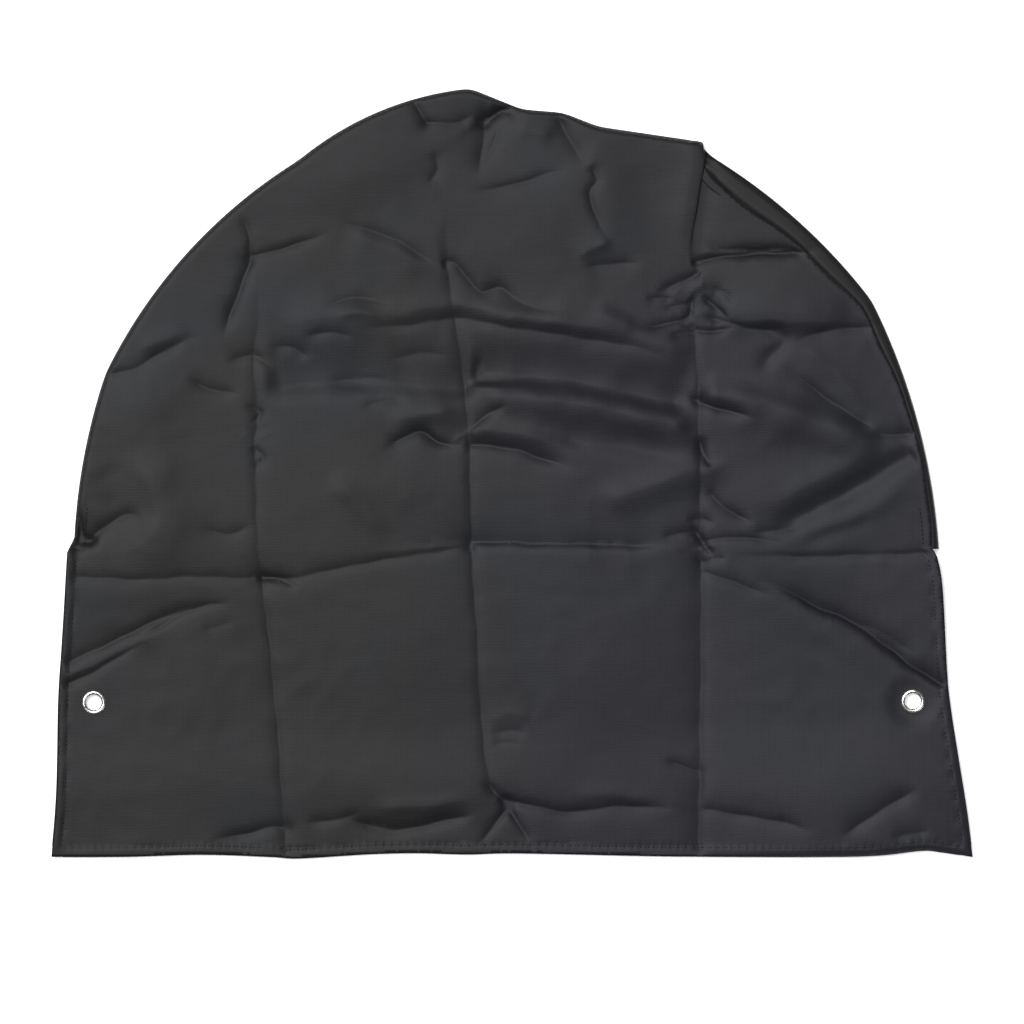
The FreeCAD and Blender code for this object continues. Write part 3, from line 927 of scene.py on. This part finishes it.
def nickel_material(name):
    """Bright nickel plate with fine wear."""
    look = Look(name, Metallic=1.0)
    wear = look.noise(420.0, detail=4.0, roughness=0.65)
    rough = look.node("ShaderNodeMapRange", Value=wear, From_Min=0.35, From_Max=0.7, To_Min=0.14,
                      To_Max=0.32)
    look.use(rough.outputs["Result"], "Roughness")
    look.use(look.ramp(wear, (0.5, 0.49, 0.46), (0.86, 0.85, 0.82), 0.3, 0.7), "Base Color")
    return look.material


CLOTH_FACE = cloth_material("satin_cloth")
CLOTH_BAND = cloth_material("band_satin_cloth", (0.0062, 0.0061, 0.0058))
THREAD = thread_material("black_thread")
ELASTIC = elastic_material("braided_elastic")
NICKEL = nickel_material("nickel_plate")


# The face

BAND_STATIONS = 440


def make_face():
    """The arch and the skirt, one length of cloth."""
    right, bottom, left = (spline(edge, 2.5) for edge in (RIGHT_EDGE, BOTTOM_EDGE, LEFT_EDGE))
    arch = arch_lines(BAND_STATIONS)[0]
    arch = arch[np.linalg.norm(arch - left[-1], axis=1).argmin() + 1:]
    outline = np.concatenate([arch[:-1], right[:-1], bottom[:-1], left])
    holes = [circle(centre, EYELET_HOLE) for centre in EYELETS]
    points = sheet_points(outline, holes)

    def keep(centres):
        kept = inside(centres, outline)
        for hole in holes:
            kept &= ~inside(centres, hole)
        return kept

    flat, faces = triangles(points, [outline] + holes, keep)
    a, b, c = (flat[faces[:, i]] for i in range(3))
    turned = np.cross(b - a, c - a) < 0
    faces[turned] = faces[turned][:, ::-1]
    moved, z = pleated(flat, sheet_height(flat))
    obj = make_mesh("face_cloth", np.column_stack([moved, z]), faces, CLOTH_FACE)
    thicken(obj, CLOTH)
    return obj


# The band: a strip outside the seam, a fold down to the surface and a leaf gathered in

BAND_ROWS = 24
GATHERS = 64
GATHER_HEIGHT = 3.0
BAND_FOOT = 0.15  # height of the band's lowest cloth
# The strip: shares of the way from the face's edge to the fold, and of the height
BAND_STRIP = ((0.3, 0.95), (0.65, 0.87))
# The turn round the fold: distances in from it, and shares of the height
BAND_TURN = ((0.8, 0.74), (0.2, 0.55), (0.0, 0.37), (0.3, 0.2), (1.0, 0.08))


def gathers(t, v):
    """Height of the gathers, from 0 to 1: t runs along the band, v from its fold to the mouth."""
    along = np.stack([t * 40, np.zeros_like(t)], 1)
    phase = 2 * math.pi * GATHERS * t
    phase += 2.2 * grain(along, 3.0, 61.0) + 0.8 * grain(along, 1.0, 67.0)
    start = 0.25 + 0.3 * grain(along, 0.8, 71.0)
    wave = (0.5 + 0.5 * np.cos(phase + 0.9 * v * grain(along, 2.0, 73.0))) ** 1.4
    uneven = 0.7 + 0.3 * grain(along, 1.3, 79.0)
    ends = smooth(np.minimum(t, 1 - t) / 0.03)
    growth = smooth((v - start) / (1 - start)) * (1 - 0.5 * smooth((v - 0.94) / 0.06))
    return wave * uneven * ends * growth


def half_circle(t, radius):
    """Points round the mouth, from the left foot over to the right one."""
    return MOUTH + np.broadcast_to(radius, t.shape)[:, None] * round_about(math.pi * (1 - t))


def make_band():
    """Rows of points from under the face's edge, over the fold and in to the mouth."""
    edge, seam, fold = arch_lines(BAND_STATIONS)
    t = np.linspace(0, 1, BAND_STATIONS)
    mouth = half_circle(t, CASING_OUTER + 0.4)
    out = (fold - seam) / np.linalg.norm(fold - seam, axis=1)[:, None]
    top = sheet_height(edge) - CLOTH - 0.05
    rows = [(edge - 0.8 * out, top)]
    for share, rise in BAND_STRIP:
        rows.append((edge + share * (fold - edge), BAND_FOOT + (top - BAND_FOOT) * rise))
    for inset, rise in BAND_TURN:
        rows.append((fold - inset * out, BAND_FOOT + (top - BAND_FOOT) * rise))
    rows[:3] = [pleated(xy, z) for xy, z in rows[:3]]
    for v in np.linspace(0.012, 1, BAND_ROWS):
        xy = fold - 2.2 * out + v * (mouth - fold + 2.2 * out)
        z = 0.1 + GATHER_HEIGHT * gathers(t, v) + 1.2 * smooth((v - 0.95) / 0.05)
        rows.append((xy, z))
    verts = np.concatenate([np.column_stack([xy, z]) for xy, z in rows])
    obj = make_mesh("band_cloth", verts, grid_faces(len(rows), BAND_STATIONS), CLOTH_BAND)
    thicken(obj, CLOTH)
    return obj


def grid_faces(rows, columns, closed=False):
    """Quads over rows of points, one row after another."""
    faces = []
    for r in range(rows if closed else rows - 1):
        a, b = r * columns, (r + 1) % rows * columns
        faces += [(a + c, a + c + 1, b + c + 1, b + c) for c in range(columns - 1)]
    return faces


# The channel for the elastic, ruffled where it is drawn in

CASING_STATIONS = 380
CASING_SIDES = 20
CASING_FOOT, CASING_TOP = 0.1, 3.6
RUFFLES = 96


def make_casing():
    """A tube round the mouth, squarish in section."""
    t = np.linspace(0, 1, CASING_STATIONS)
    along = np.stack([t * 40, np.zeros_like(t)], 1)
    ruffle = np.sin(2 * math.pi * RUFFLES * t + 1.6 * grain(along, 1.2, 83.0))
    ruffle *= 0.75 + 0.25 * grain(along, 0.9, 89.0)
    middle, half = (CASING_INNER + CASING_OUTER) / 2, (CASING_OUTER - CASING_INNER) / 2
    waist, rise = (CASING_TOP + CASING_FOOT) / 2, (CASING_TOP - CASING_FOOT) / 2
    rows = []
    for turn in 2 * math.pi * np.arange(CASING_SIDES) / CASING_SIDES:
        across, up = math.cos(turn), math.sin(turn)
        square = 1 / max(abs(across), abs(up)) ** 0.55
        r = middle + half * across * square * (1 + 0.07 * ruffle * (across < -0.2))
        z = waist + rise * up * min(square, 1 / max(abs(up), 1e-6))
        z = z + 0.32 * ruffle * up * (up > 0.1)
        rows.append(np.column_stack([half_circle(t, r), z]))
    faces = grid_faces(CASING_SIDES, CASING_STATIONS, True)
    obj = make_mesh("casing_cloth", np.concatenate(rows), faces, CLOTH_FACE)
    outward(obj)
    thicken(obj, CLOTH * 0.8)
    return obj


# Turned hems and seam allowances


def ribbon(name, outer, inner, height, thickness):
    """A closed strip between two lines, hanging below a height, with rounded sides."""
    tops, lows = [], []
    for share in (0.0, 0.2, 0.5, 0.8, 1.0):
        xy = outer + share * (inner - outer)
        z = height(xy)
        tops.append(np.column_stack([xy, z]))
        lows.append(np.column_stack([xy, z - thickness]))
    sides = []
    for edge, top, other in ((outer, tops[0], inner), (inner, tops[-1], outer)):
        bulge = (edge - other) / np.linalg.norm(edge - other, axis=1)[:, None] * 0.3
        sides.append(np.column_stack([edge + bulge, top[:, 2] - thickness / 2]))
    rings = tops + [sides[1]] + lows[::-1] + [sides[0]]
    count, stations = len(rings), len(outer)
    faces = grid_faces(count, stations, True)
    faces.append([k * stations for k in range(count)])
    faces.append([k * stations + stations - 1 for k in reversed(range(count))])
    obj = make_mesh(name, np.concatenate(rings), faces, CLOTH_FACE)
    outward(obj)
    return obj


def outward(obj):
    """Turns every face of a closed mesh outward."""
    work = bmesh.new()
    work.from_mesh(obj.data)
    bmesh.ops.recalc_face_normals(work, faces=work.faces)
    work.to_mesh(obj.data)
    work.free()


def inset_line(line, distance, wander=0.0, seed=0.0):
    """The line moved to its right, with a slow wander."""
    if wander:
        distance = distance * (1 + wander * grain(line, 30, seed))[:, None]
    return line - distance * left_of(line)


def under_face(xy):
    """Height just under the face."""
    return sheet_height(xy) - CLOTH - UNDER_GAP


def make_hems():
    """The hems along the skirt's three free edges. The side hems run up to the fold."""
    made = {}
    for edge, points in (("bottom", BOTTOM_EDGE), ("left", LEFT_EDGE), ("right", RIGHT_EDGE)):
        line = spline(points, 3.0)
        if edge == "bottom":
            line = line[3:-3]
        else:
            line = line[(line[:, 1] < FOLD_Y - 0.2) & (line[:, 1] > HEM_Y + HEM_WIDTH + 0.4)]
        inner = inset_line(line, HEM_WIDTH, 0.04, 91.0)
        made[edge] = ribbon(f"{edge}_hem_cloth", line, inner, under_face, 2 * CLOTH)
    return made


ALLOWANCE_WIDTH = 8.0


def make_allowance():
    """The raw edges turned in under the face along the seam."""
    line = resampled(trace(SEAM, 1.0), 300)[2:-2]
    inner = inset_line(line, ALLOWANCE_WIDTH, 0.1, 97.0)
    outer = inset_line(line, 1.2)
    return ribbon("arch_seam_allowance_cloth", outer, inner, under_face, 2 * CLOTH)


def band_end(side, inset, count):
    """Distances from the middle to points across one end of the band's leaf."""
    foot = FOLD[0] if side == "left" else FOLD[1][-1][-1]
    x = np.linspace(CASING_OUTER + 1 + inset, abs(foot[0]) - inset, count)
    return -x if side == "left" else x


def level(height):
    """A height that is the same everywhere."""
    return lambda xy: np.full(len(xy), height)


END_HEM_WIDTH = 9.5
END_HEM_TOP = 2 * CLOTH + 0.68


def make_band_end_hem(side):
    """The hem across one end of the band's leaf, on its inner side."""
    x = band_end(side, 3, 60)
    edge = np.column_stack([x, np.full(60, MOUTH[1] + 0.3)])
    inner = edge + np.array([0, END_HEM_WIDTH])
    inner[:, 1] += 0.4 * grain(edge, 12, 99.0)
    return ribbon(f"band_end_hem_{side}_cloth", edge, inner, level(END_HEM_TOP), 2 * CLOTH)


# Stitches, each a short length of thread that dips into the cloth at both ends

STITCH_LENGTH = 2.5
THREAD_WIDTH = 0.8
STITCH_SIDES = 6
# Where along a stitch each of its rings stands, and how wide it is there
STITCH_RINGS = ((-0.5, 0.35), (-0.3, 0.9), (0.0, 1.0), (0.3, 0.9), (0.5, 0.35))


def stitches(name, centres, runs, height, length=STITCH_LENGTH, width=THREAD_WIDTH):
    """Stitches at the centres, each along its run, lying on a height."""
    verts, faces = [], []
    rings = STITCH_RINGS
    runs = runs / np.linalg.norm(runs, axis=1)[:, None]
    across = np.column_stack([-runs[:, 1], runs[:, 0]])
    turns = 2 * math.pi * np.arange(STITCH_SIDES) / STITCH_SIDES
    for share, size in rings:
        middle = centres + share * length * runs
        z = height(middle) + width * (0.28 - 1.6 * share * share)
        for turn in turns:
            xy = middle + 0.5 * width * size * math.cos(turn) * across
            verts.append(np.column_stack([xy, z + 0.5 * width * size * math.sin(turn)]))
    verts = np.array(verts).transpose(1, 0, 2).reshape(-1, 3)
    last = len(rings) - 1
    for i in range(len(centres)):
        base = i * len(rings) * STITCH_SIDES
        for r in range(last):
            for k in range(STITCH_SIDES):
                a, b = base + r * STITCH_SIDES, base + (r + 1) * STITCH_SIDES
                n = (k + 1) % STITCH_SIDES
                faces.append((a + k, a + n, b + n, b + k))
        faces.append([base + k for k in reversed(range(STITCH_SIDES))])
        faces.append([base + last * STITCH_SIDES + k for k in range(STITCH_SIDES)])
    obj = make_mesh(name, verts, faces, THREAD)
    outward(obj)
    return obj


def stitch_row(name, line, height, pitch=STITCH_PITCH):
    """Stitches one after another along a line."""
    length = np.linalg.norm(np.diff(line, axis=0), axis=1).sum()
    count = max(2, int(length / pitch))
    ends = resampled(line, count + 1)
    return stitches(name, (ends[1:] + ends[:-1]) / 2, ends[1:] - ends[:-1], height)


def make_threads():
    """Each stitch line of the cover by the node that it stands for."""
    made = {}
    bottom = inset_line(spline(BOTTOM_EDGE, 2.0), STITCH_INSET)[5:-5]
    made["bottom_hem_thread"] = stitch_row("bottom_hem_stitches", bottom, sheet_height)
    for side, points, lean in (("left", LEFT_EDGE, 2.0), ("right", RIGHT_EDGE, -3.0)):
        line = inset_line(spline(points, 2.0), STITCH_INSET)
        line = line[(line[:, 1] < FOLD_Y - 5.5) & (line[:, 1] > HEM_Y + STITCH_INSET + 1)]
        made[f"{side}_hem_thread"] = stitch_row(f"{side}_hem_stitches", line, sheet_height)
        low, high = (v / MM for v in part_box(f"corner_tack_{side}"))
        x = (low.x + high.x) / 2
        tack = spline([(x, low.y), (x + lean * 0.4, (low.y + high.y) / 2), (x + lean, high.y)])
        made[f"corner_tack_{side}"] = stitch_row(f"corner_stitches_{side}", tack, sheet_height)
    seam = inset_line(resampled(trace(SEAM, 1.0), 500), 1.75)[3:-3]
    made["arch_seam_thread"] = stitch_row(
        "arch_seam_stitches", seam, lambda xy: under_face(xy) - 2 * CLOTH - 0.3, 4.0)
    end = 0.02 / math.pi
    ring = half_circle(np.linspace(end, 1 - end, 300), CASING_OUTER - 3.2)
    made["casing_thread"] = stitch_row("casing_stitches", ring, level(CASING_TOP + 0.2))
    return made


def make_band_end_thread(side):
    """The stitches of the hem across one end of the band."""
    line = np.column_stack([band_end(side, 4, 2), np.full(2, MOUTH[1] + END_HEM_WIDTH - 1)])
    return stitch_row(f"band_end_stitches_{side}", line, level(END_HEM_TOP + 0.02))


def make_elastic_tack(side):
    """A bar tack: close stitches across the channel."""
    low, high = (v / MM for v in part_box(f"elastic_tack_{side}"))
    y = np.linspace(low.y + 0.5, high.y - 0.5, 13)
    centres = np.column_stack([np.full(13, (low.x + high.x) / 2), y])
    slant = 0.12 * (-1.0) ** np.arange(13)
    runs = np.column_stack([np.ones(13), slant])
    return stitches(f"elastic_stitches_{side}", centres, runs, level(CASING_TOP + 0.35),
                    length=high.x - low.x, width=0.6)


def place(obj, slot, *nodes, body="cover"):
    """Hangs a piece on the body it rides on and hides the nodes that it stands for. What it is
    made of is not used.
    """
    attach(obj, body)
    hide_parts(*nodes)
    return obj


def make_pieces():
    """Every piece of cloth and thread, with what it stands for and what it rides on."""
    face = make_face()
    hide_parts("front_panel", "skirt_panel")
    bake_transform(face)
    band = place(make_band(), "cloth", "tread_band")
    casing = place(make_casing(), "cloth", "rear_casing")
    allowance = place(make_allowance(), "cloth", "arch_seam_allowance")
    hems = make_hems()
    place(hems["bottom"], "cloth", "bottom_hem", body="skirt")
    for side in SIDES:
        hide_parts(f"{side}_hem")
        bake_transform(hems[side])
    for side in SIDES:
        place(make_band_end_hem(side), "cloth", f"band_end_hem_{side}")
        place(make_band_end_thread(side), "thread", f"band_end_thread_{side}")
        place(make_elastic_tack(side), "thread", f"elastic_tack_{side}")
    for name, obj in make_threads().items():
        place(obj, "thread", name, body="skirt" if name.endswith("hem_thread") else "cover")


def finish_cad_nodes():
    """Materials for the eyelets, their washers and the elastic, which keep their CAD shapes."""
    for name, part in frame["nodes"].items():
        part.data.materials.clear()
        part.data.materials.append(NICKEL if name.startswith("eyelet") else ELASTIC)


# Camera, lights and floor

VIEW_WIDTH = 0.8052
CAMERA_HEIGHT = 6.0
VIEW_CENTRE_Y = -0.031


def make_camera():
    """A camera straight above, high up, so that the view is nearly without perspective."""
    data = bpy.data.cameras.new("camera")
    data.sensor_width = 36
    data.lens = 36 * (CAMERA_HEIGHT - FACE_TOP * MM) / VIEW_WIDTH
    data.clip_end = 30
    camera = bpy.data.objects.new("camera", data)
    camera.location = (0, VIEW_CENTRE_Y, CAMERA_HEIGHT)
    bpy.context.scene.collection.objects.link(camera)
    bpy.context.scene.camera = camera


def area_light(name, at, size, power):
    """A square soft light turned to the cover."""
    data = bpy.data.lights.new(name, "AREA")
    data.size = size
    data.energy = power
    data.color = (0.965, 0.97, 1.0)
    light = bpy.data.objects.new(name, data)
    light.location = at
    light.rotation_euler = (-Vector(at)).to_track_quat("-Z", "Y").to_euler()
    bpy.context.scene.collection.objects.link(light)


def make_floor():
    """White paper, lit a little from within so that shadows on it stay pale."""
    paper = Look("floor_paper", Base_Color=(0.93, 0.93, 0.93, 1), Roughness=0.9,
                 Specular_IOR_Level=0.1, Emission_Color=(1, 1, 1, 1), Emission_Strength=0.4)
    far = 9000
    corners = [(x, y, -0.1) for x, y in ((-far, -far), (far, -far), (far, far), (-far, far))]
    make_mesh("floor", corners, [(0, 1, 2, 3)], paper.material, False)


def make_world():
    """Dim even light from all round."""
    world = bpy.data.worlds.new("studio")
    world.use_nodes = True
    world.node_tree.nodes["Background"].inputs["Color"].default_value = (1, 1, 1, 1)
    world.node_tree.nodes["Background"].inputs["Strength"].default_value = 0.13
    bpy.context.scene.world = world


make_camera()
area_light("key", (-3.2, 2.9, 10.5), 7.2, 1850)
area_light("fill", (6.0, -5.0, 6.0), 3.0, 60)
make_floor()
make_world()
bpy.context.scene.view_settings.view_transform = "Standard"

make_pieces()
finish_cad_nodes()
